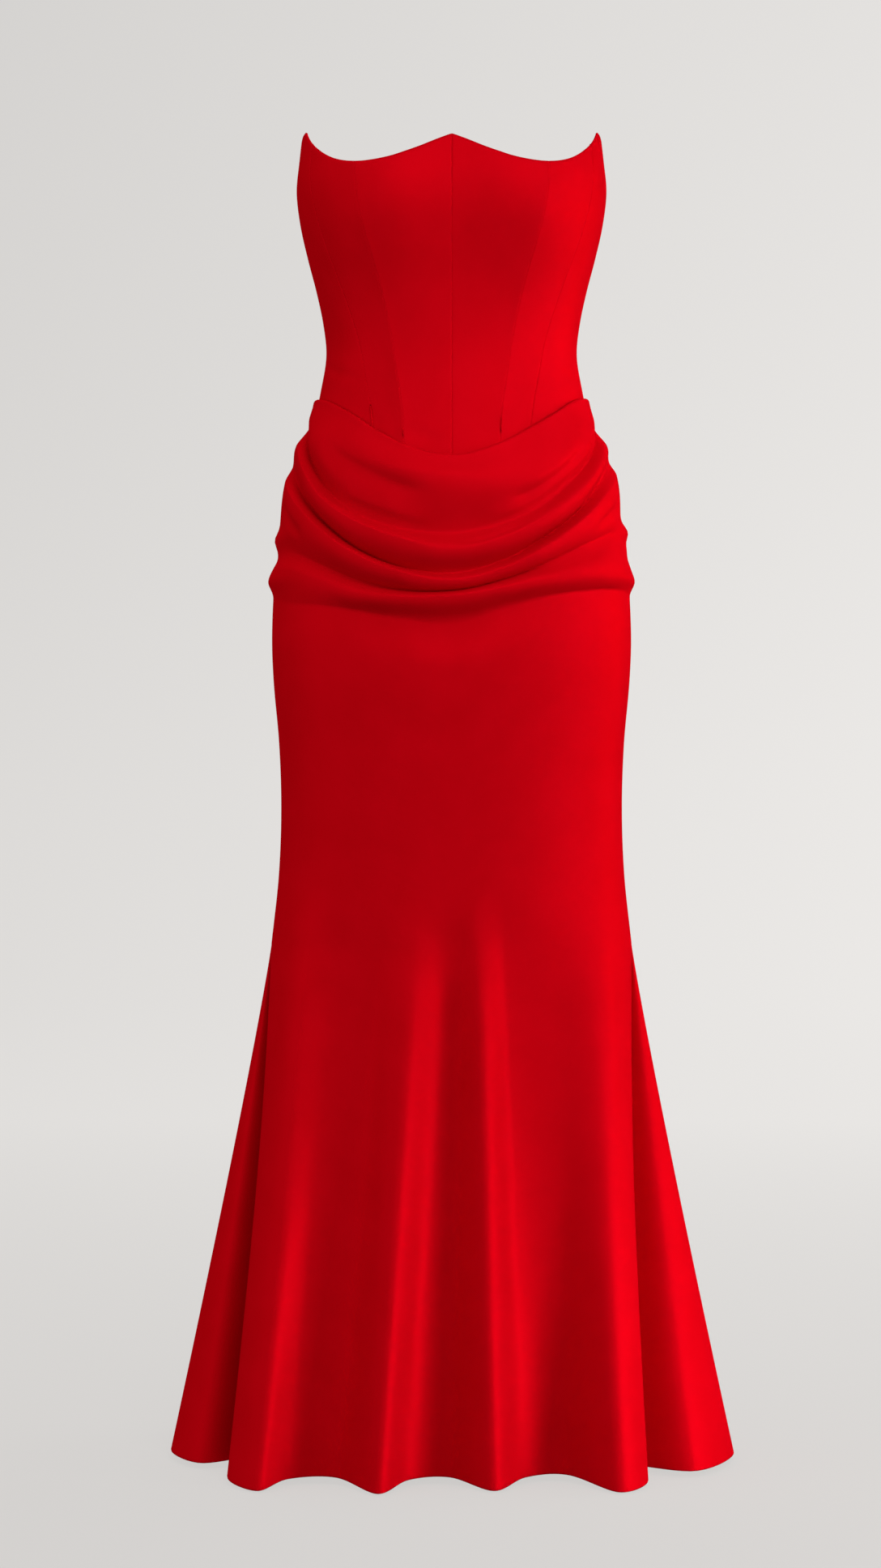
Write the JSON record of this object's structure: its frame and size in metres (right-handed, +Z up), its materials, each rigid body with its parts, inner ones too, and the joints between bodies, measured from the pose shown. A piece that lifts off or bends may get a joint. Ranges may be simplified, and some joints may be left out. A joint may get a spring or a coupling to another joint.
{
  "type": "strapless corset maxi dress with a draped hip",
  "caption": "Strapless floor-length dress with a seamed, cupped bodice, a cowl draped round the hip, a fitted thigh and godets that flare the hem, held by the waist.",
  "frame": {"origin": "centre of the waist, at the height where the boned bodice is narrowest and grips its wearer", "axes": "+Z up from hem to top edge, -Y the front of the dress, +X the wearer's left"},
  "size_m": [0.534, 0.339, 1.2514],
  "materials": {
    "red_satin": "satin-backed crepe, soft coloured sheen",
    "zip_tape": "woven polyester tape, matte",
    "zip_enamel": "gloss enamel"
  },
  "bodies": {
    "dress": {"bodice_center_front_left": "red_satin", "bodice_center_front_right": "red_satin", "bodice_side_front_left": "red_satin", "bodice_side_front_right": "red_satin", "bodice_side_left": "red_satin", "bodice_side_right": "red_satin", "bodice_side_back_left": "red_satin", "bodice_side_back_right": "red_satin", "bodice_center_back_left": "red_satin", "bodice_center_back_right": "red_satin", "skirt_front": "red_satin", "skirt_back_left": "red_satin", "skirt_back_right": "red_satin", "godet_left": "red_satin", "godet_right": "red_satin", "zip_tape_left": "zip_tape", "zip_tape_right": "zip_tape", "zip_slider": "zip_enamel"},
    "zip_tab": {"zip_pull_tab": "zip_enamel"}
  },
  "joints": [
    {"name": "pull_tab_hinge", "type": "hinge", "parent": "dress", "child": "zip_tab", "pos_m": [0, 0.08574, 0.142], "axis": [1, 0, 0], "range_deg": [0, 160]}
  ]
}
